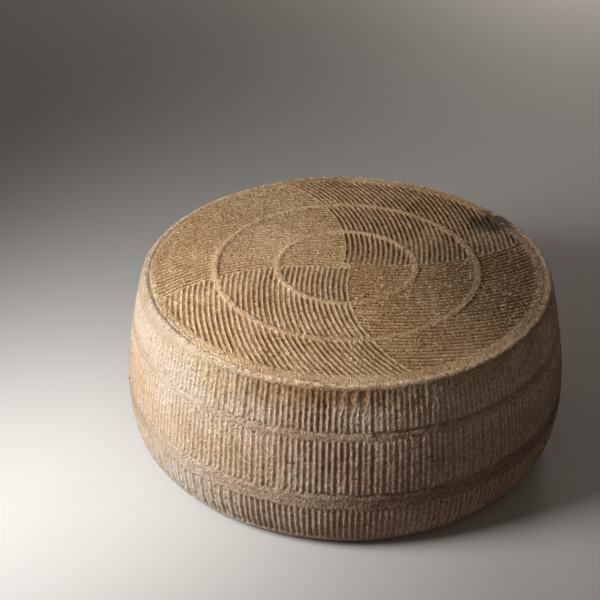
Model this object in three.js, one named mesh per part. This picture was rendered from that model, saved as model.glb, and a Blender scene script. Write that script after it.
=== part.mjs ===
// A whole wheel of pecorino, as it comes out of its ribbed mould: one solid, a low drum with a
// belly that sags towards the base. Three bands of upright ribs run round the side, with smooth
// belts between them. The top face is slightly crowned and has a pinwheel of curved ribs, cut by
// two smooth rings, inside a grooved rim.
// Millimetres, +Z up. The origin is the centre of the flat base, which the wheel rests on.

import * as THREE from 'three';
import { mergeVertices } from 'three/addons/utils/BufferGeometryUtils.js';

// ---- driving dimensions -------------------------------------------------------------------

const RIM_RADIUS = 98.5; // top face, out to its rounded edge
const RIM_HEIGHT = 88; // the rim above the base
const CROWN = 3; // the middle of the top face above the rim
const BELLY_RADIUS = 110; // widest point of the side
const BELLY_HEIGHT = 29;
const BASE_RADIUS = 95.5; // flat face that the wheel stands on
const SHOULDER_DROP = 9.8; // how far the side has come in from the belly at the rim
const SHOULDER_POWER = 1.7;
const FOOT_POWER = 2.5; // squareness of the round between base and belly

const SIDE_RIBS = 248; // ribs round the side, which alternate between deep and shallow grooves
const DEEP_GROOVE = 1.35;
const SHALLOW_GROOVE = 0.6;
const GROOVE_RUN_OUT = 1; // a groove's slope at each of its two ends, along the groove
const BAND_HEIGHTS = [[6.5, 26], [34.5, 62], [66, 86]]; // lower, middle and upper band of ribs
const BELT_STEP = 0.4; // the belts lie this far below the tops of the ribs
const BELT_EDGE = 1; // height of the step down to a belt

const TOP_PITCH = 2.56; // from one rib of the top face to the next
const TOP_GROOVE = 1;
const ARM_RADIUS = 96.5; // each arm of the pinwheel is an arc of this radius
const ARM_RISE = 21.7; // the arc's centre lies this far along the arm
const ARM_GAP = 0.4; // bare strip on each side of an arm
const TOP_ZONES = [ // ribbed zones between the smooth rings: inner and outer radius, steps per rib
  { inner: 0, outer: 33.1, steps: 2 },
  { inner: 35.3, outer: 63.5, steps: 2 },
  { inner: 65.9, outer: 93.6, steps: 3 },
];
const SHORTEST_RIB = 4;

const RIM_GROOVE = { radius: 96.4, width: 1.6, depth: 0.55 };
const SMOOTH_SIDES = 62; // steps round the smooth rows: a quarter of the ribs

const RIND_COLOUR = '#d9c29a';

// ---- the wheel's plain form ---------------------------------------------------------------

// Radius of the side at a height, over the tops of the ribs.
function sideRadius(z) {
  if (z >= BELLY_HEIGHT) {
    const up = (z - BELLY_HEIGHT) / (RIM_HEIGHT - BELLY_HEIGHT);
    return BELLY_RADIUS - SHOULDER_DROP * up ** SHOULDER_POWER;
  }
  const down = (BELLY_HEIGHT - z) / BELLY_HEIGHT;
  const kept = (1 - down ** FOOT_POWER) ** (1 / FOOT_POWER);
  return BASE_RADIUS + (BELLY_RADIUS - BASE_RADIUS) * kept;
}

// Height of the crowned top face at a distance from the axis.
function crownHeight(r) {
  return RIM_HEIGHT + CROWN * (1 - (r / RIM_RADIUS) ** 2);
}

// A point of the top face, or sunk below it.
function onTop([x, y], sunk = 0) {
  return [x, y, crownHeight(Math.hypot(x, y)) - sunk];
}

// A level loop of points round the axis. Its first point can be turned by part of a step.
function loop(radius, z, count, offset = 0) {
  return Array.from({ length: count }, (_, i) => {
    const angle = ((i + offset) / count) * 2 * Math.PI;
    return [radius * Math.cos(angle), radius * Math.sin(angle), z];
  });
}

// ---- the skin: triangles that face outwards --------------------------------------------------

class Skin {
  constructor() {
    this.corners = [];
  }

  face(a, b, c) {
    this.corners.push(...a, ...b, ...c);
  }

  // The strip between two lines of as many points, with right to the right of left as seen from outside.
  strip(left, right) {
    for (let i = 0; i + 1 < left.length; i++) {
      this.face(left[i], right[i], right[i + 1]);
      this.face(left[i], right[i + 1], left[i + 1]);
    }
  }

  // The skin between two loops round the axis, one above or inside the other, of any number of points.
  zip(below, above) {
    let i = 0;
    let j = 0;
    while (i < below.length || j < above.length) {
      const a = below[i % below.length];
      const b = above[j % above.length];
      if (j === above.length || (i < below.length && (i + 1) / below.length <= (j + 1) / above.length)) {
        i += 1;
        this.face(a, below[i % below.length], b);
      } else {
        j += 1;
        this.face(a, above[j % above.length], b);
      }
    }
  }

  // One groove between two rib tops: two slopes down to its floor, and a slope at each end.
  groove(leftTop, floor, rightTop) {
    this.strip(leftTop, floor);
    this.strip(floor, rightTop);
    const last = leftTop.length - 1;
    this.face(leftTop[0], rightTop[0], floor[0]);
    this.face(leftTop[last], floor[last], rightTop[last]);
  }

  geometry() {
    const made = new THREE.BufferGeometry();
    made.setAttribute('position', new THREE.Float32BufferAttribute(this.corners, 3));
    const merged = mergeVertices(made, 1e-4);
    merged.computeVertexNormals();
    return merged;
  }
}

// ---- side ---------------------------------------------------------------------------------

// One band of upright ribs between two heights. Returns the loops along its lower and upper edge.
function addRibbedBand(skin, [bottom, top]) {
  const lower = loop(sideRadius(bottom), bottom, SIDE_RIBS);
  const upper = loop(sideRadius(top), top, SIDE_RIBS);
  const floorAt = (z, depth) => loop(sideRadius(z) - depth, z, SIDE_RIBS, 0.5);
  const depths = [DEEP_GROOVE, SHALLOW_GROOVE];
  const lowFloors = depths.map((depth) => floorAt(bottom + GROOVE_RUN_OUT, depth));
  const highFloors = depths.map((depth) => floorAt(top - GROOVE_RUN_OUT, depth));
  for (let i = 0; i < SIDE_RIBS; i++) {
    const next = (i + 1) % SIDE_RIBS;
    const kind = i % 2;
    skin.groove([lower[i], upper[i]], [lowFloors[kind][i], highFloors[kind][i]], [lower[next], upper[next]]);
  }
  return { lower, upper };
}

function addSide(skin) {
  const bands = BAND_HEIGHTS.map((heights) => addRibbedBand(skin, heights));
  for (let i = 0; i + 1 < bands.length; i++) {
    const beltTop = BAND_HEIGHTS[i + 1][0] - BELT_EDGE;
    const belt = loop(sideRadius(beltTop) - BELT_STEP, beltTop, SMOOTH_SIDES);
    skin.zip(bands[i].upper, belt);
    skin.zip(belt, bands[i + 1].lower);
  }
  return { foot: bands[0].lower, shoulder: bands[bands.length - 1].upper };
}

function addBase(skin, foot) {
  const footHeight = BAND_HEIGHTS[0][0];
  const round = loop(sideRadius(footHeight / 4), footHeight / 4, SMOOTH_SIDES);
  const edge = loop(BASE_RADIUS, 0, SMOOTH_SIDES);
  skin.zip(round, foot);
  skin.zip(edge, round);
  for (let i = 0; i < SMOOTH_SIDES; i++) {
    skin.face(edge[i], [0, 0, 0], edge[(i + 1) % SMOOTH_SIDES]);
  }
}

// The rim: its rounded edge, from the top of the side over to the top face, and the thin groove
// inside it. Returns the loop that the top face begins at.
function addRim(skin, shoulder) {
  const shoulderHeight = BAND_HEIGHTS[BAND_HEIGHTS.length - 1][1];
  const overhang = sideRadius(shoulderHeight) - RIM_RADIUS;
  const round = loop(
    RIM_RADIUS + overhang * Math.SQRT1_2,
    shoulderHeight + (RIM_HEIGHT - shoulderHeight) * Math.SQRT1_2,
    SMOOTH_SIDES,
  );
  const edge = loop(RIM_RADIUS, RIM_HEIGHT, SMOOTH_SIDES);
  const { radius, width, depth } = RIM_GROOVE;
  const lip = loop(radius + width / 2, crownHeight(radius + width / 2), SMOOTH_SIDES);
  const floor = loop(radius, crownHeight(radius) - depth, SMOOTH_SIDES);
  const inside = loop(radius - width / 2, crownHeight(radius - width / 2), SMOOTH_SIDES);
  skin.zip(shoulder, round);
  skin.zip(round, edge);
  skin.zip(edge, lip);
  skin.zip(lip, floor);
  skin.zip(floor, inside);
  return inside;
}

// ---- the pinwheel on the top face -----------------------------------------------------------
// It is laid out for the quarter between the arms that leave the centre along +X and +Y, and
// turned for the others. That quarter's ribs are arcs about the centre of its +Y arm.

const ARM_CENTRE = [-ARM_RADIUS, ARM_RISE];
const NEXT_ARM_CENTRE = [ARM_CENTRE[1], -ARM_CENTRE[0]];

// Where the circle of a radius about the arm's centre crosses another circle: the middle direction
// of the part inside that circle, and half its width, as angles. Half is 0 if they don't cross.
function crossing(rho, centre, radius) {
  const dx = centre[0] - ARM_CENTRE[0];
  const dy = centre[1] - ARM_CENTRE[1];
  const apart = Math.hypot(dx, dy);
  const cosine = (rho ** 2 + apart ** 2 - radius ** 2) / (2 * rho * apart);
  return { middle: Math.atan2(dy, dx), half: Math.acos(Math.min(1, Math.max(-1, cosine))) };
}

// The stretch of one arc inside a zone, kept clear of the arms: its first and last angle.
function ribSpan(rho, zone) {
  const arm = crossing(rho, NEXT_ARM_CENTRE, ARM_RADIUS - ARM_GAP);
  const outer = crossing(rho, [0, 0], zone.outer);
  let first = arm.middle - arm.half;
  if (zone.inner > 0) {
    const inner = crossing(rho, [0, 0], zone.inner);
    if (inner.half > 0) first = Math.max(first, inner.middle + inner.half);
  }
  return { first, last: outer.middle + outer.half, length: (outer.middle + outer.half - first) * rho };
}

// Points along an arc, from its first angle to its last, shortened at both ends.
function arcPoints(rho, span, steps, shorten = 0) {
  const from = span.first + shorten / rho;
  const to = span.last - shorten / rho;
  return Array.from({ length: steps + 1 }, (_, i) => {
    const angle = from + ((to - from) * i) / steps;
    return [ARM_CENTRE[0] + rho * Math.cos(angle), ARM_CENTRE[1] + rho * Math.sin(angle)];
  });
}

// The ribs of one zone in that quarter: the lines of their tops, and of the groove floors between.
function layOutZone(zone) {
  const tops = [];
  const floors = [];
  const reach = Math.hypot(...ARM_CENTRE) + zone.outer;
  for (let rho = ARM_RADIUS + ARM_GAP; rho < reach; rho += TOP_PITCH) {
    const span = ribSpan(rho, zone);
    if (span.length < SHORTEST_RIB) continue;
    if (tops.length) {
      const between = rho - TOP_PITCH / 2;
      floors.push(arcPoints(between, ribSpan(between, zone), zone.steps, GROOVE_RUN_OUT));
    }
    tops.push(arcPoints(rho, span, zone.steps));
  }
  return { tops, floors };
}

// The zone's outline, anticlockwise from above: up its last rib, back along the rib ends, down its
// first rib, and along the rib starts.
function outlineOf({ tops }) {
  const first = tops[0];
  const last = tops[tops.length - 1];
  const starts = tops.slice(1, -1).map((line) => line[0]);
  const ends = tops.slice(1, -1).map((line) => line[line.length - 1]);
  return [...starts, ...last, ...ends.reverse(), ...[...first].reverse()];
}

function quarterTurn([x, y], turns) {
  return turns === 0 ? [x, y] : quarterTurn([-y, x], turns - 1);
}

function addTop(skin, rimLoop) {
  const outlines = [];
  for (const zone of TOP_ZONES) {
    const laid = layOutZone(zone);
    for (let turns = 0; turns < 4; turns++) {
      const turn = (line) => line.map((p) => quarterTurn(p, turns));
      const tops = laid.tops.map(turn);
      const floors = laid.floors.map(turn);
      floors.forEach((floor, k) => {
        // Seen from above, with the ribs running away from the viewer, the next rib is on the right.
        skin.groove(
          tops[k].map((p) => onTop(p)),
          floor.map((p) => onTop(p, TOP_GROOVE)),
          tops[k + 1].map((p) => onTop(p)),
        );
      });
      outlines.push(outlineOf({ tops }));
    }
  }
  // The bare rings, arms and middle are what is left between the ribbed zones and the rim.
  const toVector = ([x, y]) => new THREE.Vector2(x, y);
  const contour = rimLoop.map(toVector);
  const holes = outlines.map((outline) => outline.map(toVector).reverse());
  const corners = [contour, ...holes].flat().map(({ x, y }) => onTop([x, y]));
  for (const [a, b, c] of THREE.ShapeUtils.triangulateShape(contour, holes)) {
    skin.face(corners[a], corners[b], corners[c]);
  }
}

// ---- the wheel ------------------------------------------------------------------------------

function makeWheel() {
  const skin = new Skin();
  const { foot, shoulder } = addSide(skin);
  addBase(skin, foot);
  addTop(skin, addRim(skin, shoulder));
  const rind = new THREE.MeshStandardMaterial({ color: RIND_COLOUR, roughness: 0.8, metalness: 0 });
  const wheel = new THREE.Mesh(skin.geometry(), rind);
  wheel.name = 'pecorino_wheel';
  return wheel;
}

const part = new THREE.Group();
part.add(makeWheel());

export default part;
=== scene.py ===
"""A whole wheel of pecorino with a ribbed rind, lying on a plain pale floor.

The wheel is one piece. First a plain blank is made, whose rows of points lie where the ribs will
be. Then a Geometry Nodes tree presses the ribs, belts, rings and wear into it. Metres, +Z up.
"""

import math

import bpy
import numpy as np
from bpy.props import FloatProperty, FloatVectorProperty, IntProperty, PointerProperty
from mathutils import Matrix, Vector
from mathutils.geometry import delaunay_2d_cdt


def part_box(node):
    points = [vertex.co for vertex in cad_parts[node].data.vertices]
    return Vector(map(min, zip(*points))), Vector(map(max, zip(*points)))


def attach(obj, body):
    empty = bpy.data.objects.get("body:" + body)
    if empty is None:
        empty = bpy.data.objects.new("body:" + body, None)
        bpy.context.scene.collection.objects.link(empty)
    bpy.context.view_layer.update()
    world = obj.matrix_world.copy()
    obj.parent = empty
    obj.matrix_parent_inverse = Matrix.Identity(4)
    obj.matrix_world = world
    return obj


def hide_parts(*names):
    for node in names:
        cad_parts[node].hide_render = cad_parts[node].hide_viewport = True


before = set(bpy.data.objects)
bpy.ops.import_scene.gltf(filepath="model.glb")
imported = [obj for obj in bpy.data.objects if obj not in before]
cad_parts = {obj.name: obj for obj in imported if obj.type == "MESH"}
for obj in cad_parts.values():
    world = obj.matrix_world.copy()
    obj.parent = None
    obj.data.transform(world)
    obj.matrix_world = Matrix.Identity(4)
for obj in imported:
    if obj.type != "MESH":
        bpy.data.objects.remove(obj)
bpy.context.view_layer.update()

bl_info = {
    "name": "Pecorino wheel",
    "version": (1, 0, 0),
    "blender": (4, 5, 0),
    "location": "View3D > Sidebar > Cheese",
    "description": "Presses a ribbed wheel of pecorino and sets up a plain studio for it",
    "category": "Add Mesh",
}

NODE = "pecorino_wheel"
LOWEST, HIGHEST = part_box(NODE)
MM = 0.001


def mm(*sizes):
    """Sizes in millimetres, as metres."""
    return tuple(size * MM for size in sizes)


# ---- what a user would change

def length(name, description, default):
    return FloatProperty(
        name=name, description=description, default=default, unit="LENGTH", precision=5)


def share(name, description, default):
    return FloatProperty(name=name, description=description, default=default, subtype="FACTOR")


def colour(name, description, default):
    return FloatVectorProperty(
        name=name, description=description, default=default, size=3, subtype="COLOR", min=0, max=1)


class WheelForm(bpy.types.PropertyGroup):
    """Sizes of the wheel's plain form"""
    belly_radius: length("Belly radius", "Widest radius of the side", (HIGHEST[0] - LOWEST[0]) / 2)
    belly_height: length("Belly height", "Height of the widest point", 29 * MM)
    base_radius: length("Base radius", "Flat face that the wheel stands on", 95.5 * MM)
    rim_radius: length("Rim radius", "Top face, out to its rounded edge", 98.5 * MM)
    crown: length("Crown", "Middle of the top face above the rim", 3 * MM)
    height: length("Height", "Whole height, with the crown", HIGHEST[2] - LOWEST[2])
    shoulder_drop: length("Shoulder drop", "How far the side comes in up to the rim", 9.8 * MM)

    @property
    def rim_height(self):
        return self.height - self.crown


class RibSizes(bpy.types.PropertyGroup):
    """Sizes of the ribs that the mould presses, and of their wear"""
    count: IntProperty(name="Side ribs", description="Ribs round the side", default=248, min=8)
    side_depth: length("Side groove", "Depth of the grooves of the side", 1.35 * MM)
    shallow: share("Shallow grooves", "Least depth of every second groove, as a share", 0.55)
    top_depth: length("Top groove", "Depth of the grooves of the top face", 1.0 * MM)
    pitch: length("Top pitch", "From one rib of the top face to the next", 2.56 * MM)
    run_out: length("Run-out", "How fast a groove ends", 0.7 * MM)
    arm_radius: length("Arm radius", "Each arm of the pinwheel is an arc this big", 96.5 * MM)
    arm_rise: length("Arm rise", "How far the arc's centre lies along the arm", 21.7 * MM)
    arm_gap: length("Arm gap", "Bare strip on each side of an arm", 0.05 * MM)
    belt_step: length("Belt step", "How far a belt lies under the crests", 0.4 * MM)
    wander: length("Wander", "How far the ribs and the outline stray", 0.7 * MM)
    wear: share("Wear", "How much the ribs fade in patches", 0.6)
    seed: IntProperty(name="Seed", description="Changes the wear and the marks", default=4)


class RindColours(bpy.types.PropertyGroup):
    """Colours of the rind, some with painted shade and some with painted highlights. A tint
    multiplies the colour under it
    """
    side: colour("Side", "Cream rind of the side", (0.57, 0.475, 0.38))
    side_pink: colour("Side patches", "Pink patches of the side", (0.51, 0.37, 0.295))
    # Painted shade: the foot darker and warmer away from the lit front left.
    side_low: colour("Side foot", "Duller rind low on the side", (0.42, 0.285, 0.215))
    side_tan: colour("Side tan", "Tan patches of the side", (0.56, 0.39, 0.24))
    # Paler crests of the side: partly rubbed rind, partly painted highlight.
    side_crest_wear_and_highlight: colour("Side crests", "Rubbed ribs of the side", (0.74, 0.64, 0.53))
    # Grooves of the side: partly brown stain, partly painted shade in the hollows.
    side_groove: colour("Side grooves", "Tint in the side's grooves", (0.50, 0.31, 0.16))
    belt: colour("Belts", "Tint of the bare belts", (0.50, 0.39, 0.27))
    cool: colour("Front left", "Cool tint of the side", (0.66, 0.84, 1.0))
    warm: colour("Far left", "Warm tint of the side", (0.66, 0.48, 0.34))
    # Painted shade with a warm cast over the lower half, least where the light falls.
    lower: colour("Lower side", "Tint of the side's lower half", (0.46, 0.36, 0.34))
    # Painted shade over the lower belt, least where the light falls.
    low_belt: colour("Low belt", "Tint of the lower belt", (0.4, 0.34, 0.3))
    top: colour("Top", "Tan rind of the top face", (0.62, 0.44, 0.255))
    top_dark: colour("Top patches", "Browner patches of the top", (0.47, 0.305, 0.15))
    # Paler crests of the top: partly rubbed rind and pale flecks, partly painted highlight.
    top_crest_wear_and_highlight: colour("Top crests", "Rubbed ribs of the top", (0.82, 0.65, 0.45))
    # Grooves of the top: partly brown stain, partly painted shade in the hollows.
    top_groove: colour("Top grooves", "Tint in the top's grooves", (0.42, 0.27, 0.13))
    top_middle: colour("Top middle", "Browner middle of the top", (0.36, 0.20, 0.08))
    # Painted shade: the right of the top is darkened as though the light fell off there.
    top_shaded: colour("Top right", "Duller right of the top", (0.21, 0.138, 0.07))
    top_left: colour("Top left rim", "Tint inside the rim on the left", (0.5, 0.46, 0.42))
    # Pale rim: partly rubbed rind, partly painted highlight along the rounded edge.
    rim: colour("Rim", "Rubbed rim of the top face", (0.86, 0.68, 0.50))
    speckle: colour("Speckle", "Tint of the darker grains", (0.56, 0.45, 0.34))
    pores: colour("Pores", "Tint in the pores", (0.42, 0.28, 0.14))
    smooth: colour("Smooth rind", "Tint where the grain is weak", (0.5, 0.46, 0.40))
    fleck: colour("Flecks", "Pale flecks on the rind", (0.80, 0.67, 0.45))
    ochre: colour("Ochre", "Stains below the rim", (0.44, 0.295, 0.12))
    olive: colour("Olive", "Dull patches at the front right", (0.27, 0.20, 0.10))
    brown: colour("Brown", "Stains just below the rim", (0.25, 0.125, 0.045))
    pit: colour("Pits", "Small dark pits", (0.13, 0.07, 0.02))
    mould: colour("Mould", "Grey mould near the rim", (0.045, 0.035, 0.026))


class StudioSettings(bpy.types.PropertyGroup):
    """Floor, air and camera"""
    floor: colour("Floor", "Plain pale floor", (0.40, 0.396, 0.388))
    floor_half: length("Floor size", "From its middle to its edges", 8.0)
    air: colour("Air", "Faint light from all round", (1.0, 0.90, 0.80))
    air_strength: share("Air strength", "How bright that faint light is", 0.075)
    elevation: FloatProperty(
        name="Elevation", description="How steeply the camera looks down",
        default=math.radians(31.94), subtype="ANGLE")
    distance: length("Distance", "From the camera to the point it looks at", 730.9 * MM)
    lens: FloatProperty(name="Lens", description="Focal length", default=88.08, unit="CAMERA")


# ---- sizes and places of the details

# The bands of ribs round the side, as heights, and the zones of ribs on the top face, as radii.
BANDS = [mm(6.5, 26), mm(34.5, 62), mm(66, 86)]
ZONES = [mm(0, 33.1), mm(35.3, 63.5), mm(65.9, 93.6)]
# How sharply the foot and the shoulder of the side turn in.
FOOT_POWER = 2.5
SHOULDER_POWER = 1.7
# How far a crest's slope reaches, in pitches.
CREST_REACH = 0.42

# Rows of points up the side: those of the foot, up to a share of its curve, those in a band and
# a belt, and those of the rounded rim, as angles.
FOOT_ROWS = 5
FOOT_SHARE = 0.70
BAND_ROW_STEP = 1.55 * MM
BELT_ROW_STEP = 1.05 * MM
RIM_TURNS = (25, 50, 75, 90)
# Where lines of points run along a rib, in pitches from its crest. Short lines are left out.
RIB_LINES = (0.0, 0.22, 0.5, 0.78)
HIDDEN_RIB_LINES = (0.0, 0.5)
SHORTEST_LINE = 1.5 * MM
# Circles of points on the round faces, with their number of points: at the groove and the line
# inside the rim, and at the bare rings. Each keeps clear of the face's edge.
CIRCLES = [(radius, 310) for radius in mm(97.6, 97, 96.4, 95.8, 95.2)]
CIRCLES += [(radius, 140) for radius in mm(34.2, 33.5, 34.9)]
CIRCLES += [(radius, 250) for radius in mm(64, 64.7, 65.4)]
CIRCLE_MARGIN = 0.4 * MM
# Points closer than this are one point.
SAME_POINT = 1e-7
# A face's lines along a rib, the spacing of points along them, and its circles. The hidden
# underside has fewer.
TOP_NET = (RIB_LINES, 2.0 * MM, CIRCLES)
BASE_NET = (HIDDEN_RIB_LINES, 8 * MM, CIRCLES[::3])

# Pairs of side ribs that join below the rim: three side by side at the front, and a few by
# chance. One rib of a pair leans, by a share of a pitch. Seeds set the draws this far apart.
JOINED_PAIR = -31
JOINED_REACH = 1.5
JOINED_SHARE = 0.04
JOINED_LEAN = 0.72
DRAWS_APART = 7
# How far the tops of the bands lie lower on the left, how far the feet of the middle band hook
# back, and how far the ribs sway up and down.
LOWER_TOPS = 5 * MM
HOOK = 1.6 * MM
SWAY = 5 * MM
# Shares of a groove's depth: what wear, rubbing and breaks take, and what the underside keeps.
WORN_SIDE = 0.4
WORN_TOP = 0.5
RUBBED_LEFT = 0.62
RUBBED_RIGHT = (0.42, 0.64)
FADED_TOP = 0.3
BROKEN_SIDE = 0.3
BROKEN_TOP = 0.5
UNDERSIDE = 0.7
# Lines round the side: height, half width, and how far each stands out or is sunk.
SIDE_LINES = [mm(26.7, 1.1, 0.3), mm(32.4, 1.1, 0.35), mm(64.1, 1.1, 0.25)]
SIDE_HOLLOWS = [mm(54.6, 1.8, 0.3), mm(17, 1.8, 0.35)]
UNDERCUTS = [(low - 0.5 * MM, 1.3 * MM, 1.1 * MM) for low, _ in BANDS[1:]]
BELT_EDGE = 1 * MM
BELT_LUMPS = 1.5 * MM
# Lines round the top face: radius, half width, and how far each stands out or is sunk.
RINGS = [mm(34.2, 1.1, 0.35), mm(64.7, 1.1, 0.35)]
RIM_LINE = [mm(97.6, 0.9, 0.12)]
RIM_GROOVE = [mm(96.4, 0.75, 0.7)]
DIMPLE = [mm(0, 2.2, 0.6)]
# How far the outermost ribs stop short at the front, and how slowly they end.
SHORTER_BY = 1.8 * MM
OUTER_RUN_OUT = 1.8 * MM
# Where the round faces set in: depths under the rim or over the base, and how far out.
FACE_EDGE = mm(0.4, 0.1)
FACE_OUT = 0.3 * MM
# How rough the rind is, and how far that and the straying push it in, the last in wanders.
ROUGH = 0.45 * MM
ROUGH_DEPTH = 0.15 * MM
STRAY_DEPTH = 0.4
# How the form strays: the noise's scale, its offset, and how far, in wanders. The foot is held.
STRAYS = [(14.0, 20.0, 3.0), (110.0, 21.0, 0.6), (420.0, 22.0, 0.35)]
FREE_ABOVE = 8 * MM

# Stretches of the wheel: a bearing in degrees from +X, and how far the stretch reaches each way.
STRETCHES = {
    "rubbed left": (185, 52), "rubbed right": (305, 50), "pale left": (195, 60),
    "smooth left": (192, 50), "lit": (222, 56), "tan": (212, 48), "cool": (207, 55),
    "warm": (188, 36), "stained rim": (240, 38), "ochre": (245, 38), "streaks": (235, 13),
    "olive": (310, 34), "brown": (265, 26), "smear": (269, 16), "short ribs": (250, 62),
    "faded top": (140, 42), "raised rings": (135, 60), "rim groove": (168, 85),
    # The stretches at 232 degrees lay a painted highlight on the top's crests, and the one at 50
    # degrees lays painted shade in its grooves.
    "frost_and_highlight": (232, 60), "crest highlights": (232, 65), "dark grooves": (50, 55),
    "far specks": (122, 60), "rim left": (190, 45), "lip left": (190, 50), "lip right": (340, 60),
}
# Heights in mm between which something sets in on the side, or fades if the first is the larger.
HEIGHTS = {
    "lower tops": (68, 80), "joined": (74, 79), "rubbed more": (60, 80), "hooks below": (38, 34),
    "hooks above": (27, 31), "sway below": (87, 82), "sway above": (4, 12), "foot": (40, 24),
    "lower side": (62, 46), "rim stains": (66, 84), "under rim": (73, 83), "rim edge": (88, 87),
    "streaks": (58, 76), "olive": (72, 86), "smear": (76, 83), "lip": (85, 87.5),
}
# Radii in mm between which something sets in on the top face.
RADII = {"faded top": (10, 30), "far specks": (25, 75), "rim left": (88, 95)}
# Heights of belts of colour on the side, with their half widths.
TAN_BELT = mm(46, 26)
LOW_BELT = mm(30, 5.5)
# Noise in patches: its scale, its offset, and the values where the patches start and are full.
PATCHES = {
    "shallow pairs": (30.0, 4.2, 0.45, 0.58), "worn side": (42.0, 7.7, 0.42, 0.62),
    "broken side": (420.0, 2.2, 0.42, 0.66), "undercut": (160.0, 6.1, 0.36, 0.52),
    "side hollows": (90.0, 6.7, 0.4, 0.6), "hooks": (20.0, 5.8, 0.42, 0.56),
    "worn top": (60.0, 5.5, 0.45, 0.62), "broken top": (330.0, 2.9, 0.36, 0.66),
    "rim groove": (300.0, 8.0, 0.34, 0.52), "specks": (520.0, 32.0, 0.50, 0.60),
    "lip": (300.0, 31.0, 0.35, 0.6), "flecks": (640.0, 33.0, 0.57, 0.64),
    "mould": (150.0, 14.0, 0.33, 0.46),
}
# Plain noise: its scale and its offset.
NOISES = {"belt lumps": (700.0, 9.4), "sway": (230.0, 3.1), "rough": (700.0, 12.0),
          "colour edge": (180.0, 30.0)}
# Blotches of colour: scale, how much they cover, softness and seed.
BLOTCHES = {
    "pink": (26.0, 0.55, 0.08, 0), "tan": (38.0, 0.70, 0.10, 3), "ochre": (60.0, 0.2, 0.05, 6),
    "stained rim": (48.0, 0.52, 0.08, 2), "side crests": (420.0, 0.6, 0.1, 8),
    "under rim": (90.0, 0.72, 0.12, 9), "streaks": (110.0, 0.6, 0.1, 12),
    "olive": (60.0, 0.6, 0.12, 11), "top": (22.0, 0.5, 0.1, 5), "frost_and_highlight": (420.0, 0.55, 0.08, 10),
}
# Round spots on the top face, in mm: X, Y, reach, and how soft the edge is.
SPOTS = {
    # The shaded spot is painted shade over the right of the top.
    "middle": (8, -12, 6, 38), "beside": (-17, 8, 4, 20), "shaded": (100, -10, 25, 75),
    "mould": (77, 49, 7, 10), "nick": (42.5, -71.3, 0.6, 0.9),
}
# Small pits of the top face: cells to a metre, size in cells, and the share of cells with a pit.
PITS = (210.0, 0.16, 0.35)
# Where the top's colour gives way to the side's: out from the rim and down from it. The line
# between them strays out and up, and lies further in on the left.
COLOUR_OUT = mm(3, -2)
COLOUR_DOWN = mm(5, 1.5)
COLOUR_STRAY = mm(9, 4, 2.5)
LIP_HALF_WIDTH = 2.2 * MM
RING_TINT_HALF_WIDTH = 1.3 * MM
MOULD_DEPTH = 3 * MM

# The lamps: where each stands and what it lights, its size, power, tint and spread in degrees.
LAMPS = {
    "key": ((-0.345, -0.175, 0.265), (-0.13, -0.05, 0.05), 0.2, 0.85, (1.0, 0.99, 0.97), 80),
    "soft fill": ((0.75, -1.15, 1.0), (0, 0, 0.05), 1.3, 1.8, (1.0, 0.78, 0.61), 180),
    "back fill": ((0.35, 1.2, 0.15), (0, 0, 0.045), 0.3, 6.0, (1.0, 0.92, 0.84), 180),
}
# The point that the camera looks at, in rim radii, and the camera's sensor and sight.
LOOKS_AT = (-0.231, 0, 0.709)
SENSOR_MM = 36
SIGHT = 100


# ---- the blank

def side_radius(form, z):
    """Radius of the side at heights z, over the tops of the ribs."""
    up = np.clip((z - form.belly_height) / (form.rim_height - form.belly_height), 0, None)
    down = np.clip(1 - z / form.belly_height, 0, 1)
    kept = (1 - down ** FOOT_POWER) ** (1 / FOOT_POWER)
    return (form.base_radius + (form.belly_radius - form.base_radius) * kept
            - form.shoulder_drop * up ** SHOULDER_POWER)


def crown_height(form, r):
    """Height of the top face at distances r from the axis."""
    return form.rim_height + form.crown * (1 - (r / form.rim_radius) ** 2)


def steps(low, high, spacing):
    """Evenly spaced values from low to high, with both ends."""
    return np.linspace(low, high, max(2, round((high - low) / spacing) + 1))


def side_rows(form, ribs):
    """Radius and height of each row of points, from the edge of the base up to the rim."""
    kept = np.linspace(0, FOOT_SHARE, FOOT_ROWS)
    heights = list(form.belly_height * (1 - (1 - kept ** FOOT_POWER) ** (1 / FOOT_POWER)))
    belt_tops = [low for low, _ in BANDS[1:]] + [None]
    for (low, high), belt_top in zip(BANDS, belt_tops):
        heights += [low, *steps(low + ribs.run_out, high - ribs.run_out, BAND_ROW_STEP), high]
        if belt_top:
            heights += list(steps(high, belt_top, BELT_ROW_STEP)[1:-1])
    heights = np.array(heights)
    shoulder = heights[-1]
    overhang = side_radius(form, shoulder) - form.rim_radius
    turn = np.radians(RIM_TURNS)
    radii = np.append(side_radius(form, heights), form.rim_radius + overhang * np.cos(turn))
    return radii, np.append(heights, shoulder + (form.rim_height - shoulder) * np.sin(turn))


def crossing(rho, start, centre, radius):
    """Where a circle of radius rho about start runs inside another: middle angle, half width."""
    dx, dy = np.subtract(centre, start)
    apart = math.hypot(dx, dy)
    cosine = (rho ** 2 + apart ** 2 - radius ** 2) / (2 * rho * apart)
    return math.atan2(dy, dx), math.acos(min(1, max(-1, cosine)))


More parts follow.
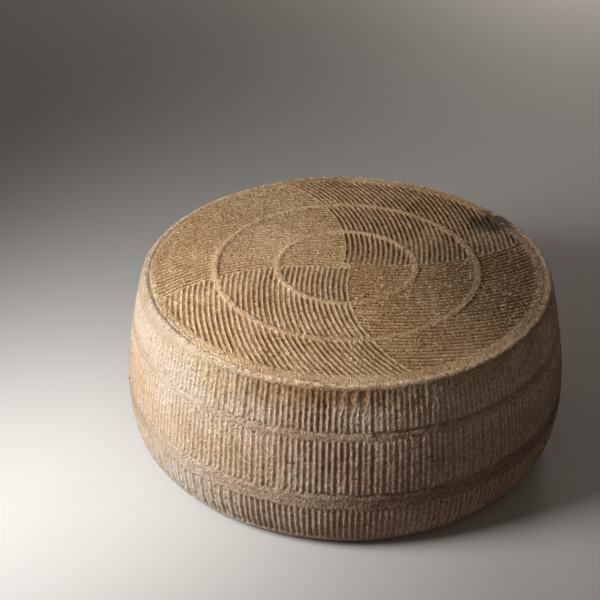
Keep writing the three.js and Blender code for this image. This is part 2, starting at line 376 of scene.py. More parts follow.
def rib_lines(ribs, zone, lines, spacing):
    """Lines of points along one zone's ribs, in the quarter between the arms along +X and +Y."""
    inner, outer = zone
    arm = (-ribs.arm_radius, ribs.arm_rise)
    next_arm = (ribs.arm_rise, ribs.arm_radius)
    first_rib = ribs.arm_radius + ribs.arm_gap
    reach = math.hypot(*arm) + outer
    found = []
    for rib in range(int((reach - first_rib) / ribs.pitch) + 1):
        for line in lines:
            rho = first_rib + (rib + line) * ribs.pitch
            middle, half = crossing(rho, arm, next_arm, ribs.arm_radius - ribs.arm_gap)
            start = middle - half
            middle, half = crossing(rho, arm, (0, 0), outer)
            end = middle + half
            if half == 0:
                continue
            if inner:
                middle, half = crossing(rho, arm, (0, 0), inner)
                if half > 0:
                    start = max(start, middle + half)
            run = (end - start) * rho
            if run < SHORTEST_LINE:
                continue
            along = steps(0, run, spacing)
            if run > 3 * ribs.run_out:
                inside = steps(ribs.run_out, run - ribs.run_out, spacing)
                along = np.concatenate([[0], inside, [run]])
            angle = start + along / rho
            found.append(
                np.stack([arm[0] + rho * np.cos(angle), arm[1] + rho * np.sin(angle)], 1))
    return found


def circle(radius, count):
    """Points round a circle, as X and Y."""
    angle = np.arange(count) * (2 * math.pi / count)
    return np.stack([radius * np.cos(angle), radius * np.sin(angle)], 1)


def loop_links(first, count):
    """Links between count points, from number first on, that close into a loop."""
    numbers = np.arange(count)
    return np.stack([numbers, (numbers + 1) % count], 1) + first


def face_net(ribs, edge, lines, spacing, circles):
    """A net of triangles over a round face inside the loop edge, with points along its ribs.

    Returns its points and triangles, and for each point the numbers of those that it was made
    from. Numbers under len(edge) are points of edge.
    """
    points = [edge]
    links = [loop_links(0, len(edge))]
    count = len(edge)
    edge_radius = math.hypot(*edge[0])
    for radius, number in circles:
        if radius > edge_radius - CIRCLE_MARGIN:
            continue
        points.append(circle(radius, number))
        links.append(loop_links(count, number))
        count += number
    for zone in ZONES:
        for line in rib_lines(ribs, zone, lines, spacing):
            numbers = np.arange(len(line))
            for _ in range(4):
                points.append(line)
                links.append(np.stack([numbers[:-1], numbers[1:]], 1) + count)
                count += len(line)
                line = np.stack([-line[:, 1], line[:, 0]], 1)
    flat, _, triangles, origins, _, _ = delaunay_2d_cdt(
        [Vector(point) for point in np.concatenate(points)],
        [tuple(link) for link in np.concatenate(links).tolist()], [], 0, SAME_POINT, True)
    return flat, triangles, origins


def make_blank(form, ribs):
    """The wheel's plain form as a closed mesh, with rows of points where the ribs will be."""
    radii, heights = side_rows(form, ribs)
    phases = (np.arange(ribs.count)[:, None] + np.array(RIB_LINES)).ravel() / ribs.count
    angle = phases * 2 * math.pi
    columns = len(angle)
    ring = np.stack([np.cos(angle), np.sin(angle)], 1)
    side = np.concatenate(
        [np.column_stack([ring * r, np.full(columns, z)]) for r, z in zip(radii, heights)])
    places = [side]
    numbers = np.arange(columns)
    after = (numbers + 1) % columns
    faces = []
    for row in range(len(radii) - 1):
        low = row * columns
        high = low + columns
        corners = [low + numbers, low + after, high + after, high + numbers]
        faces += np.stack(corners, 1).tolist()
    total = len(side)
    for upward, net in ((True, TOP_NET), (False, BASE_NET)):
        start = (len(radii) - 1) * columns if upward else 0
        edge = side[start:start + columns, :2]
        flat, triangles, origins = face_net(ribs, edge, *net)
        index = np.empty(len(flat), int)
        extra = []
        for place, sources in enumerate(origins):
            if sources and min(sources) < columns:
                index[place] = start + min(sources)
            else:
                index[place] = total + len(extra)
                extra.append(tuple(flat[place]))
        extra = np.array(extra)
        r = np.hypot(extra[:, 0], extra[:, 1])
        z = crown_height(form, r) if upward else np.zeros(len(extra))
        places.append(np.column_stack([extra, z]))
        total += len(extra)
        turned = [index[list(triangle)].tolist() for triangle in triangles]
        faces += turned if upward else [triangle[::-1] for triangle in turned]
    mesh = bpy.data.meshes.new("wheel blank")
    mesh.from_pydata(np.concatenate(places).tolist(), [], faces)
    mesh.polygons.foreach_set("use_smooth", [True] * len(mesh.polygons))
    mesh.validate()
    return mesh


# ---- wires: arithmetic in node trees

class Wire:
    """A value in a node tree. Sums, products and the like of wires put their nodes in place."""

    def __init__(self, tree, socket):
        self.tree = tree
        self.socket = socket

    def math(self, operation, *others):
        node = self.tree.nodes.new("ShaderNodeMath")
        node.operation = operation
        for socket, value in zip(node.inputs, (self, *others)):
            plug(value, socket)
        return Wire(self.tree, node.outputs[0])

    def __add__(self, other):
        return self.math("ADD", other)

    def __sub__(self, other):
        return self.math("SUBTRACT", other)

    def __mul__(self, other):
        return self.math("MULTIPLY", other)

    def __truediv__(self, other):
        return self.math("DIVIDE", other)

    __radd__ = __add__

    def __rsub__(self, other):
        return (self * -1) + other

    def __neg__(self):
        return self * -1

    def larger(self, other):
        return self.math("MAXIMUM", other)

    def size(self):
        return self.math("ABSOLUTE")

    def rise(self, low, high):
        """0 below low, 1 above high, and a smooth rise between. A low above high is a fall."""
        node = self.tree.nodes.new("ShaderNodeMapRange")
        node.interpolation_type = "SMOOTHSTEP"
        for socket, value in zip(node.inputs, (self, low, high)):
            plug(value, socket)
        return Wire(self.tree, node.outputs[0])

    def hump(self, centre, half_width):
        """1 at centre, 0 from half_width away."""
        return (self - centre).size().rise(half_width, 0.0)

    def span(self, off, on):
        """The value off where this is 0, on where it is 1, and between them in proportion."""
        return self * (on - off) + off

    def vector(self, operation, other):
        """Arithmetic on vectors. Other is a vector, or a number for SCALE."""
        node = self.tree.nodes.new("ShaderNodeVectorMath")
        node.operation = operation
        plug(self, node.inputs[0])
        plug(other, node.inputs["Scale" if operation == "SCALE" else 1])
        return Wire(self.tree, node.outputs[0])

    def split(self):
        """The X, Y and Z of a vector."""
        node = self.tree.nodes.new("ShaderNodeSeparateXYZ")
        self.tree.links.new(self.socket, node.inputs[0])
        return [Wire(self.tree, output) for output in node.outputs]


def plug(value, socket):
    """Sets a socket to a plain value, or links a wire to it."""
    if isinstance(value, Wire):
        value.tree.links.new(value.socket, socket)
    else:
        socket.default_value = value


def add(tree, kind, settings=None, **inputs):
    """A new node with its settings and inputs. An input's name has underscores for spaces."""
    node = tree.nodes.new(kind)
    for name, value in (settings or {}).items():
        setattr(node, name, value)
    for name, value in inputs.items():
        plug(value, node.inputs[name.replace("_", " ")])
    return node


def distance(x, y):
    return (x * x + y * y).math("SQRT")


class Place:
    """A place on the wheel in a node tree, with its coordinates, its bearing and noise there."""

    def __init__(self, position, seed):
        self.tree = position.tree
        self.position = position
        self.seed = seed
        self.x, self.y, self.z = position.split()
        self.r = distance(self.x, self.y)

    def cloud(self, scale, offset, detail=2.0):
        """Smooth noise as a colour, each part from about 0.3 to 0.7."""
        node = add(self.tree, "ShaderNodeTexNoise", {"noise_dimensions": "4D"},
                   Vector=self.position, W=self.seed + offset, Scale=scale, Detail=detail)
        return Wire(self.tree, node.outputs[1])

    def noise(self, scale, offset, detail=2.0):
        """Smooth noise from about 0.3 to 0.7."""
        return Wire(self.tree, self.cloud(scale, offset, detail).socket.node.outputs[0])

    def uneven(self, name):
        """Noise from about -0.2 to 0.2, by its name in NOISES."""
        return self.noise(*NOISES[name]) - 0.5

    def patchy(self, name):
        """1 in the patches of that name in PATCHES, and 0 between them."""
        scale, offset, start, full = PATCHES[name]
        return self.noise(scale, offset).rise(start, full)

    def near(self, name):
        """1 in the middle of the stretch of that name in STRETCHES, and 0 outside it."""
        bearing, reach = STRETCHES[name]
        angle = math.radians(bearing)
        facing = (self.x * math.cos(angle) + self.y * math.sin(angle)) / self.r
        return facing.rise(math.cos(math.radians(reach)), 1.0)

    def level(self, name):
        """How far something has set in at this height, by its name in HEIGHTS."""
        return self.z.rise(*mm(*HEIGHTS[name]))

    def out(self, name):
        """How far something has set in this far from the axis, by its name in RADII."""
        return self.r.rise(*mm(*RADII[name]))

    def spot(self, name):
        """1 in the spot of that name in SPOTS, and 0 past its soft edge."""
        x, y, reach, edge = mm(*SPOTS[name])
        return distance(self.x - x, self.y - y).rise(reach + edge, reach)


SOCKETS = {float: "NodeSocketFloat", Vector: "NodeSocketVector", "geometry": "NodeSocketGeometry"}


def open_tree(kind, name, inputs, outputs):
    """A new tree with named inputs and outputs. Returns it, the input wires by name, its end."""
    tree = bpy.data.node_groups.new(name, kind)
    for label, (shape, default) in inputs.items():
        socket = tree.interface.new_socket(
            name=label, in_out="INPUT", socket_type=SOCKETS[shape])
        if default is not None:
            socket.default_value = default
    for label, shape in outputs.items():
        tree.interface.new_socket(name=label, in_out="OUTPUT", socket_type=SOCKETS[shape])
    start = tree.nodes.new("NodeGroupInput")
    end = tree.nodes.new("NodeGroupOutput")
    return tree, {s.name: Wire(tree, s) for s in start.outputs if s.name}, end


# ---- pressing the ribs

ARM_SIZES = ("Arm radius", "Arm rise", "Arm gap", "Pitch", "Run out")
FORM_SIZES = ("rim_height", "rim_radius", "base_radius")


def input_name(name):
    """A setting's name as the name of a tree's input."""
    return name.replace("_", " ").capitalize()


def rib_hollow(across):
    """How deep a place lies between ribs: 0 on a crest and 1 on the floor. Across counts ribs."""
    return (across - (across + 0.5).math("FLOOR")).size().rise(0.0, CREST_REACH)


def lines(along, rows):
    """The height of lines that lie across a wire, each a place, a half width and a height."""
    return sum(along.hump(place, half_width) * height for place, half_width, height in rows)


def quarter_tree():
    """The ribs of one quarter of the pinwheel, between the arms that leave along +X and +Y."""
    tree, given, end = open_tree(
        "GeometryNodeTree", "Pinwheel quarter",
        {name: (float, 0.0) for name in ("X", "Y", *ARM_SIZES)}, {"Hollow": float})
    x, y, radius, rise = given["X"], given["Y"], given["Arm radius"], given["Arm rise"]
    inner_edge = radius + given["Arm gap"]
    outer_edge = radius - given["Arm gap"]
    from_arm = distance(x + radius, y - rise)
    from_next = distance(x - rise, y - radius)
    inside = from_arm.math("GREATER_THAN", inner_edge)
    run_out = from_next.rise(outer_edge, outer_edge - given["Run out"])
    hollow = rib_hollow((from_arm - inner_edge) / given["Pitch"]) * inside * run_out
    plug(hollow, end.inputs["Hollow"])
    return tree


def side_bands(at, given, left):
    """1 in the bands of ribs round the side. Their top ends lie lower on the left."""
    level = at.z + left * at.level("lower tops") * LOWER_TOPS
    return sum(level.rise(low, low + given["Run out"]) * level.rise(high, high - given["Run out"])
               for low, high in BANDS)


def belt_relief(at, given, in_bands, left):
    """How far the belts between the bands are pushed in, with their edges and thin lines."""
    first_top, last_foot = BANDS[0][1], BANDS[-1][0]
    in_belts = ((1 - in_bands) * at.z.rise(first_top - BELT_EDGE, first_top)
                * at.z.rise(last_foot + BELT_EDGE, last_foot))
    flat = in_belts * given["Belt step"] + at.uneven("belt lumps") * in_belts * BELT_LUMPS
    undercuts = lines(at.z, UNDERCUTS) * at.patchy("undercut") * left.span(1, 0.3)
    hollows = lines(at.z, SIDE_HOLLOWS) * at.patchy("side hollows")
    return flat + undercuts + hollows - lines(at.z, SIDE_LINES)


def side_relief(at, given):
    """The side's ribs, belts and thin lines.

    Returns how hollow a place is, 1 in the bands, how far a place is pushed in, and how far it
    shifts round and up.
    """
    rib_number = at.y.math("ARCTAN2", at.x) / (2 * math.pi) * given["Count"]
    pitch = at.r * (2 * math.pi) / given["Count"]
    left = at.near("rubbed left")
    in_bands = side_bands(at, given, left)

    # pairs of ribs join into one near the rim, and share a shallow groove in patches
    pair = ((rib_number + 1) / 2).math("FLOOR")
    pair_gap = 1 - rib_number.math("FLOOR").math("MODULO", 2.0).size()
    draw = add(at.tree, "ShaderNodeTexWhiteNoise", {"noise_dimensions": "1D"},
               W=pair + at.seed * DRAWS_APART)
    joins = Wire(at.tree, draw.outputs["Value"]).math("LESS_THAN", JOINED_SHARE)
    joins = joins.larger((pair - JOINED_PAIR).size().math("LESS_THAN", JOINED_REACH))
    joined = at.level("joined") * joins
    shallow = pair_gap * (1 - given["Shallow"]) * at.patchy("shallow pairs")
    worn = given["Wear"] * at.patchy("worn side") * WORN_SIDE
    rubbed_right = at.near("rubbed right") * at.level("rubbed more").span(*RUBBED_RIGHT)
    rubbed = left * RUBBED_LEFT + rubbed_right
    hollow = rib_hollow(rib_number) * in_bands * (1 - joined * pair_gap) * (1 - shallow)
    hollow = hollow * (1 - worn) * (1 - rubbed)
    broken = at.patchy("broken side") * BROKEN_SIDE * in_bands * (1 - rubbed)
    pushed = (hollow + (1 - hollow) * broken) * given["Side depth"]
    pushed = pushed + belt_relief(at, given, in_bands, left)

    # one rib of a pair leans over to the other, and the feet of the middle band hook back
    lean = joined * (1 - rib_number.math("PINGPONG", 1.0)) * JOINED_LEAN * pitch
    hook = at.level("hooks below") * at.level("hooks above") * at.patchy("hooks")
    around = lean - hook * HOOK
    up = at.uneven("sway") * at.level("sway below") * at.level("sway above") * SWAY
    return hollow, in_bands, pushed, around, up


def face_zones(at, given):
    """1 in the zones of ribs of a round face. The outermost ribs stop short at the front."""
    zones = []
    for inner, outer in ZONES:
        last = (inner, outer) == ZONES[-1]
        reached = at.r + at.near("short ribs") * SHORTER_BY if last else at.r
        zone = reached.rise(outer, outer - (OUTER_RUN_OUT if last else given["Run out"]))
        if inner:
            zone = zone * at.r.rise(inner, inner + given["Run out"])
        zones.append(zone)
    return sum(zones)


def face_relief(at, given):
    """The pinwheel, rings and rim of the round faces: how hollow, 1 in the zones, how far in."""
    quarter = quarter_tree()
    parts = []
    for x, y in ((at.x, at.y), (at.y, -at.x), (-at.x, -at.y), (-at.y, at.x)):
        node = add(at.tree, "GeometryNodeGroup", {"node_tree": quarter}, X=x, Y=y)
        for name in ARM_SIZES:
            plug(given[name], node.inputs[name])
        parts.append(Wire(at.tree, node.outputs[0]))
    in_zones = face_zones(at, given)
    worn = given["Wear"] * at.patchy("worn top") * WORN_TOP
    faded = at.near("faded top") * at.out("faded top") * FADED_TOP
    hollow = sum(parts) * in_zones * (1 - worn) * (1 - faded)
    broken = at.patchy("broken top") * BROKEN_TOP * in_zones
    pushed = (hollow + (1 - hollow) * broken) * given["Top depth"]
    raised = lines(at.r, RINGS) * at.near("raised rings") + lines(at.r, RIM_LINE)
    dotted = lines(at.r, RIM_GROOVE) * at.patchy("rim groove").span(0.4, 1)
    groove = dotted * at.near("rim groove").span(0.2, 1)
    return hollow, in_zones, pushed - raised + groove + lines(at.r, DIMPLE)


def pressing_tree(form, ribs, material):
    """Presses ribs, belts, rings and wear into the blank."""
    inputs = {input_name(name): (float, float(getattr(group, name)))
              for group, names in ((ribs, RibSizes.__annotations__), (form, FORM_SIZES))
              for name in names}
    tree, given, end = open_tree("GeometryNodeTree", "Press the rind",
                                 {"Blank": ("geometry", None), **inputs}, {"Wheel": "geometry"})
    at = Place(Wire(tree, tree.nodes.new("GeometryNodeInputPosition").outputs[0]), given["Seed"])
    outwards = Wire(tree, tree.nodes.new("GeometryNodeInputNormal").outputs[0])
    rim = given["Rim height"]
    inwards, edge = FACE_EDGE
    on_top = (at.z.rise(rim - inwards, rim - edge)
              * at.r.rise(given["Rim radius"] + FACE_OUT, given["Rim radius"]))
    below = (at.z.rise(inwards, edge)
             * at.r.rise(given["Base radius"] + FACE_OUT, given["Base radius"]))
    on_side = 1 - on_top - below
    side_hollow, in_bands, side_pushed, around, up = side_relief(at, given)
    face_hollow, in_zones, face_pushed = face_relief(at, given)

    rough = at.uneven("rough") * at.near("pale left").span(1, 0.3) * ROUGH + ROUGH_DEPTH
    underside = below * face_hollow * given["Top depth"] * UNDERSIDE
    pushed = on_side * side_pushed + on_top * face_pushed + underside
    pushed = pushed + (rough + given["Wander"] * STRAY_DEPTH) * (1 - below)
    moved = outwards.vector("SCALE", -pushed)
    turned = add(tree, "ShaderNodeCombineXYZ",
                 X=-at.y / at.r * around, Y=at.x / at.r * around, Z=up)
    moved = moved.vector("ADD", Wire(tree, turned.outputs[0]).vector("SCALE", on_side))
    # the ribs waver, and the whole form strays a little; the foot stays on the floor
    for scale, offset, far in STRAYS:
        stray = at.cloud(scale, offset).vector("SUBTRACT", (0.5, 0.5, 0.5))
        free = given["Wander"] * far * at.z.rise(0.0, FREE_ABOVE)
        moved = moved.vector("ADD", stray.vector("SCALE", free))

    marks = {"groove": on_side * side_hollow + (1 - on_side) * face_hollow, "face": 1 - on_side,
             "ribbed": on_side * in_bands + (1 - on_side) * in_zones}
    wheel = given["Blank"]
    for name, value in marks.items():
        store = add(tree, "GeometryNodeStoreNamedAttribute",
                    {"data_type": "FLOAT", "domain": "POINT"},
                    Geometry=wheel, Name=name, Value=value)
        wheel = Wire(tree, store.outputs[0])
    for kind, inputs in (("SetPosition", {"Offset": moved}), ("RealizeInstances", {}),
                         ("SetMaterial", {"Material": material})):
        wheel = Wire(tree, add(tree, "GeometryNode" + kind, Geometry=wheel, **inputs).outputs[0])
    plug(wheel, end.inputs["Wheel"])
    return tree


# ---- the rind's finish, with painted shade and painted highlights

def mix(tree, amount, a, b, mode="MIX"):
    """Colour b over colour a, by amount."""
    node = tree.nodes.new("ShaderNodeMix")
    node.data_type = "RGBA"
    node.blend_type = mode
    plug(amount, node.inputs[0])
    for value, socket in ((a, node.inputs[6]), (b, node.inputs[7])):
        plug(value if isinstance(value, Wire) else (*value, 1.0), socket)
    return Wire(tree, node.outputs[2])


class Paint:
    """A colour built up in layers, each over those before."""

    def __init__(self, tree, base):
        self.tree = tree
        self.colour = base

    def lay(self, layer, where, cover=1.0, mode="MIX"):
        """A layer of a colour, as thick as where says, times cover."""
        self.colour = mix(self.tree, where * cover, self.colour, layer, mode)

    def tint(self, layer, where, cover=1.0):
        """A layer that multiplies the colour under it."""
        self.lay(layer, where, cover, "MULTIPLY")


def blotches_group():
    """Soft irregular patches."""
    tree, given, end = open_tree(
        "ShaderNodeTree", "Blotches",
        {"Place": (Vector, None), "Scale": (float, 30.0), "Cover": (float, 0.5),
         "Softness": (float, 0.1), "Seed": (float, 0.0)}, {"Patch": float})
    level = 0.70 - given["Cover"] * 0.4
    value = Place(given["Place"], given["Seed"]).noise(given["Scale"], offset=0.0, detail=4.0)
    patch = value.rise(level - given["Softness"], level + given["Softness"])
    plug(patch, end.inputs["Patch"])
    return tree


def grain_group():
    """The rind's crumbly grain: a height, a light and dark speckle, and pores."""
    tree, given, end = open_tree(
        "ShaderNodeTree", "Crumbly grain",
        {"Place": (Vector, None), "Scale": (float, 1150.0), "Broad scale": (float, 0.6),
         "Crumb scale": (float, 1.2), "Pore scale": (float, 520.0), "Fine height": (float, 0.95),
         "Broad height": (float, 0.8), "Crumb height": (float, 0.4), "Pore depth": (float, 0.5),
         "Seed": (float, 0.0)},
        {"Height": float, "Speckle": float, "Pores": float})
    at = Place(given["Place"], given["Seed"])
    fine = at.noise(given["Scale"], offset=0.0, detail=3.0)
    broad = at.noise(given["Scale"] * given["Broad scale"], offset=4.0, detail=4.0)
    crumbs = add(tree, "ShaderNodeTexVoronoi", Vector=at.position,
                 Scale=given["Scale"] * given["Crumb scale"])
    crumb = Wire(tree, crumbs.outputs["Distance"]).rise(0.7, 0.1)
    pores = at.noise(given["Pore scale"], offset=9.0).rise(0.41, 0.31)
    height = (fine * given["Fine height"] + broad * given["Broad height"]
              + crumb * given["Crumb height"] - pores * given["Pore depth"])
    plug(height, end.inputs["Height"])
    plug((fine * 0.5 + broad * 0.5).rise(0.42, 0.58), end.inputs["Speckle"])
    plug(pores, end.inputs["Pores"])
    return tree


def attribute(tree, name):
    return Wire(tree, add(tree, "ShaderNodeAttribute", {"attribute_name": name}).outputs["Fac"])


def new_material(name):
    """A material with its shader. Returns it, the tree, the shader and Object coordinates."""
    material = bpy.data.materials.new(name)
    material.use_nodes = True
    tree = material.node_tree
    shader = tree.nodes["Principled BSDF"]
    place = Wire(tree, tree.nodes.new("ShaderNodeTexCoord").outputs["Object"])
    return material, tree, shader, place


def pits(at, scale, size, kept_share):
    """Small round pits, one to a cell, of which only a share are kept."""
    cells = add(at.tree, "ShaderNodeTexVoronoi", Vector=at.position, Scale=scale)
    off = Wire(at.tree, cells.outputs["Distance"])
    draw = Wire(at.tree, cells.outputs["Color"]).split()[0]
    return off.rise(size, size * 0.4) * draw.rise(kept_share + 0.02, kept_share)


def paint_side(at, colours, blotches, groove, ribbed, crest):
    """The side's colour: cream with pink and tan patches, pale crests partly painted as highlights,
    grooves darkened by stain and painted shade, painted shade low down, and stains by the rim.
    """
    left, lit = at.near("pale left"), at.near("lit")
    paint = Paint(at.tree, colours.side)
    paint.lay(colours.side_pink, blotches("pink") * left.span(0.85, 0.25))
    # painted shade: the foot darker away from the lit front left
    paint.lay(colours.side_low, at.level("foot") * (1 - lit), cover=0.8)
    tan = blotches("tan") * at.near("tan").rise(0.0, 0.5) * at.z.hump(*TAN_BELT)
    paint.lay(colours.side_tan, tan, cover=0.85)
    front_rim = at.near("stained rim") * at.level("rim stains")
    paint.lay(colours.ochre, blotches("stained rim") * front_rim, cover=0.6)
    paint.lay(colours.ochre, blotches("ochre"), cover=0.35)
    # paler crests, partly rubbed rind and partly painted highlight
    paint.lay(colours.side_crest_wear_and_highlight, crest * blotches("side crests"), cover=0.7)
    # the grooves darker, partly brown stain and partly painted shade, less on the rubbed left
    paint.tint(colours.side_groove, groove * left.span(1, 0.4), cover=0.8)
    paint.tint(colours.belt, (1 - ribbed) * left.span(1, 0.4), cover=0.5)
    paint.tint(colours.cool, at.near("cool"), cover=0.4)
    paint.tint(colours.warm, at.near("warm"), cover=0.45)
    # painted shade with a warm cast: the lower half and the lower belt darker, least where the
    # light falls
    paint.tint(colours.lower, at.level("lower side") * lit.span(1, 0.2), cover=0.5)
    paint.tint(colours.low_belt, at.z.hump(*LOW_BELT) * lit.span(1, 0.15), cover=0.3)

    rim_edge = at.level("rim edge")
    under_rim = at.level("under rim") * rim_edge * blotches("under rim")
    ochre = under_rim * at.near("ochre").rise(0.0, 0.5)
    paint.lay(colours.ochre, ochre * groove.span(0.15, 0.6))
    streaks = at.near("streaks") * at.level("streaks") * blotches("streaks")
    paint.lay(colours.ochre, streaks * groove.span(0.25, 0.65))
    olive = at.level("olive") * at.near("olive") * blotches("olive")
    paint.lay(colours.olive, olive, cover=0.6)
    brown = under_rim * at.near("brown").rise(0.0, 0.5)
    paint.lay(colours.brown, brown * groove.span(0.4, 1))
    smear = at.near("smear") * at.level("smear") * rim_edge
    paint.lay(colours.brown, smear * groove.span(0.35, 0.75))
    return paint.colour


def paint_top(at, colours, blotches, groove, face, crest):
    """The top's colour: tan with pale crests, partly rubbed and partly painted highlight, a browner
    middle, grooves darkened by stain and painted shade, and painted shade over the right side.
    """
    middle, shaded = at.spot("middle"), at.spot("shaded")
    paint = Paint(at.tree, colours.top)
    paint.lay(colours.top_dark, blotches("top"))
    paint.lay(colours.top_middle, (middle * 0.8).larger(at.spot("beside") * 0.6))
    # painted shade over the right of the top
    paint.lay(colours.top_shaded, shaded, cover=0.9)
    # pale flecks on the crests, strongest at the front left facing the light: partly real flecks,
    # partly painted highlight
    frost_and_highlight = blotches("frost_and_highlight") * at.near("frost_and_highlight").rise(0.0, 0.7).span(0.25, 0.85)
    frost_and_highlight = frost_and_highlight * crest.span(0.3, 1) * middle.span(1, 0.4)
    paint.lay(colours.top_crest_wear_and_highlight, frost_and_highlight * face)
    # painted highlight: crests paler at the front left, facing the light
    pale = crest * at.near("crest highlights").span(0.25, 0.85) * middle.span(1, 0.5)
    paint.lay(colours.top_crest_wear_and_highlight, pale * face)
    # the grooves darker, partly brown stain and partly painted shade, less where the top is worn
    # and in the middle
    paint.tint(colours.top_groove, groove * (at.near("faded top").span(1, 0.65) - middle * 0.3))
    # painted shade: the grooves darker still over the right of the top and at the back right
    dark = groove * shaded.larger(at.near("dark grooves"))
    paint.tint(colours.top_groove, dark, cover=0.5)
    paint.lay(colours.pit, pits(at, *PITS), cover=0.8)
    far = at.near("far specks") * at.out("far specks")
    paint.lay(colours.pit, at.patchy("specks") * shaded.larger(far * 0.5), cover=0.6)
    paint.tint(colours.top_left, at.near("rim left") * at.out("rim left"), cover=0.4)
    inner, outer = (at.r.hump(radius, RING_TINT_HALF_WIDTH) for radius, _, _ in RINGS)
    # the raised rings take the crests' pale colour, partly painted highlight
    rings = inner.larger(outer) * at.near("raised rings")
    paint.lay(colours.top_crest_wear_and_highlight, rings, cover=0.4)
    return paint.colour


def rind_material(colours, form, ribs):
    """The rind: the side's and the top's colours, the crumbly grain, mould and a nick."""
    material, tree, shader, position = new_material("Pecorino rind")
    at = Place(position, float(ribs.seed))
    group = blotches_group()
    groove, face, ribbed = (attribute(tree, name) for name in ("groove", "face", "ribbed"))
    crest = ribbed * groove.rise(0.35, 0.0)

    def blotches(name):
        scale, cover, softness, seed = BLOTCHES[name]
        node = add(tree, "ShaderNodeGroup", {"node_tree": group}, Place=position, Scale=scale,
                   Cover=cover, Softness=softness, Seed=at.seed + seed)
        return Wire(tree, node.outputs[0])

    # the top's colour runs over the rim to an uneven line
    stray_out, stray_up, left_out = COLOUR_STRAY
    edge = at.uneven("colour edge")
    out = at.r + edge * stray_out + at.near("pale left") * left_out
    outermost, innermost = (form.rim_radius + far for far in COLOUR_OUT)
    lowest, highest = (form.rim_height - down for down in COLOUR_DOWN)
    over_rim = out.rise(outermost, innermost) * (at.z + edge * stray_up).rise(lowest, highest)
    paint = Paint(tree, paint_side(at, colours, blotches, groove, ribbed, crest))
    paint.lay(paint_top(at, colours, blotches, groove, face, crest), over_rim)
    # a pale line along the rim's rounded edge, partly rubbed rind and partly painted highlight,
    # weaker on the left and on the right
    lip = at.r.hump(form.rim_radius, LIP_HALF_WIDTH) * at.level("lip") * at.patchy("lip")
    lip = lip * (at.near("lip left").span(0.85, 0.25) - at.near("lip right") * 0.5)
    paint.lay(colours.rim, lip)

    grains = add(tree, "ShaderNodeGroup", {"node_tree": grain_group()}, Place=position,
                 Seed=at.seed)
    height, speckle, pores = (Wire(tree, output) for output in grains.outputs)
    # the grain is weaker on the left of the side, where the rind is rubbed smooth
    calm = at.near("smooth left") * (1 - face) * 0.6
    paint.tint(colours.speckle, (1 - speckle) * (1 - calm), cover=0.7)
    paint.tint(colours.pores, pores * (1 - calm), cover=0.6)
    paint.tint(colours.smooth, calm, cover=0.6)
    paint.lay(colours.fleck, at.patchy("flecks") * face.span(0.15, 0.35) * (1 - calm))

    # grey mould by the rim, and a dark nick
    by_rim = at.z.rise(form.rim_height - MOULD_DEPTH, form.rim_height)
    mould = at.spot("mould") * at.patchy("mould") * by_rim
    paint.lay(colours.mould, mould, cover=0.92)
    paint.lay(colours.pit, at.spot("nick") * face, cover=0.9)

    plug(paint.colour, shader.inputs["Base Color"])
    plug(speckle.span(0.86, 0.76) + (pores * 0.08).larger(mould * 0.2), shader.inputs["Roughness"])
    shader.inputs["Specular IOR Level"].default_value = 0.35
    bump = add(tree, "ShaderNodeBump", Strength=1.0, Distance=0.8 * MM,
               Height=height * calm.span(1, 0.4))
    tree.links.new(bump.outputs[0], shader.inputs["Normal"])
    return material


def floor_material(tone):
    """Plain pale floor, a little uneven in tone."""
    material, tree, shader, position = new_material("Pale floor")
    cloud = Place(position, 1.0).noise(scale=3.0, offset=0.0).rise(0.3, 0.7)
    darker = [part * 0.95 for part in tone]
    plug(mix(tree, cloud * 0.5, tone, darker), shader.inputs["Base Color"])
    shader.inputs["Roughness"].default_value = 0.8
    return material


# ---- operators

def put(scene, name, data):
    """A new object in the scene."""
    made = bpy.data.objects.new(name, data)
    scene.collection.objects.link(made)
    return made


class CHEESE_OT_wheel(bpy.types.Operator):
    """Make the wheel: a blank, pressed by Geometry Nodes, with its rind"""
    bl_idname = "cheese.wheel"
    bl_label = "Make the wheel"

    def execute(self, context):
        scene = context.scene
        form, ribs = scene.wheel_form, scene.rib_sizes
        material = rind_material(scene.rind_colours, form, ribs)
        blank = put(scene, "wheel blank", make_blank(form, ribs))
        press = blank.modifiers.new("Press the rind", "NODES")
        press.node_group = pressing_tree(form, ribs, material)
        depsgraph = context.evaluated_depsgraph_get()
        made = bpy.data.meshes.new_from_object(
            blank.evaluated_get(depsgraph), preserve_all_data_layers=True, depsgraph=depsgraph)
        blank.modifiers.remove(press)
        bpy.data.objects.remove(blank)
        made.name = "pecorino rind"
        wheel = put(scene, "pecorino_rind", made)
        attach(wheel, "root")
        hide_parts(NODE)
        return {"FINISHED"}


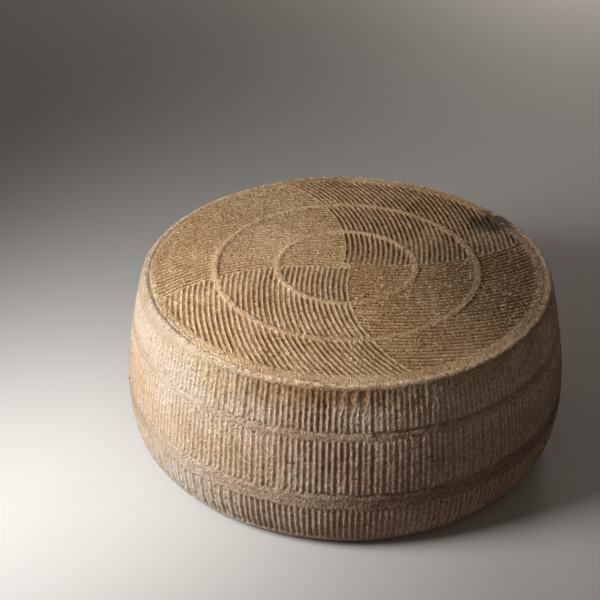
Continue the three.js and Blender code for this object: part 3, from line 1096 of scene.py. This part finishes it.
class CHEESE_OT_studio(bpy.types.Operator):
    """Set up the floor, the light and the camera"""
    bl_idname = "cheese.studio"
    bl_label = "Set up the studio"

    def execute(self, context):
        scene = context.scene
        studio, form = scene.studio_settings, scene.wheel_form
        half = studio.floor_half
        mesh = bpy.data.meshes.new("floor")
        corners = [(-half, -half, 0), (half, -half, 0), (half, half, 0), (-half, half, 0)]
        mesh.from_pydata(corners, [], [(0, 1, 2, 3)])
        mesh.materials.append(floor_material(studio.floor))
        put(scene, "floor", mesh)

        for name, (place, aim, size, power, tint, spread) in LAMPS.items():
            light = bpy.data.lights.new(name, "AREA")
            light.shape = "DISK"
            light.size = size
            light.energy = power
            light.color = tint
            light.spread = math.radians(spread)
            lamp = put(scene, name, light)
            lamp.location = place
            lamp.visible_camera = False
            direction = Vector(aim) - Vector(place)
            lamp.rotation_euler = direction.to_track_quat("-Z", "Y").to_euler()
        world = scene.world or bpy.data.worlds.new("studio air")
        scene.world = world
        world.use_nodes = True
        backdrop = world.node_tree.nodes["Background"]
        backdrop.inputs["Color"].default_value = (*studio.air, 1)
        backdrop.inputs["Strength"].default_value = studio.air_strength

        camera = bpy.data.cameras.new("camera")
        camera.lens = studio.lens
        camera.sensor_width = SENSOR_MM
        camera.clip_end = SIGHT
        viewer = put(scene, "camera", camera)
        ahead = Vector((0, math.cos(studio.elevation), -math.sin(studio.elevation)))
        viewer.location = Vector(LOOKS_AT) * form.rim_radius - ahead * studio.distance
        viewer.rotation_euler = (math.pi / 2 - studio.elevation, 0, 0)
        scene.camera = viewer
        scene.view_settings.view_transform = "Standard"
        return {"FINISHED"}


class CHEESE_PT_panel(bpy.types.Panel):
    """The wheel's and the studio's operators"""
    bl_label = "Pecorino wheel"
    bl_idname = "CHEESE_PT_panel"
    bl_space_type = "VIEW_3D"
    bl_region_type = "UI"
    bl_category = "Cheese"

    def draw(self, context):
        for operator in OPERATORS:
            self.layout.operator(operator.bl_idname)


SETTINGS = {"wheel_form": WheelForm, "rib_sizes": RibSizes, "rind_colours": RindColours,
            "studio_settings": StudioSettings}
OPERATORS = [CHEESE_OT_wheel, CHEESE_OT_studio]
CLASSES = (*SETTINGS.values(), *OPERATORS, CHEESE_PT_panel)


def register():
    for group in CLASSES:
        bpy.utils.register_class(group)
    for name, group in SETTINGS.items():
        setattr(bpy.types.Scene, name, PointerProperty(type=group))


def unregister():
    for name in SETTINGS:
        delattr(bpy.types.Scene, name)
    for group in reversed(CLASSES):
        bpy.utils.unregister_class(group)


def main():
    register()
    bpy.ops.cheese.wheel()
    bpy.ops.cheese.studio()


if __name__ == "__main__":
    main()
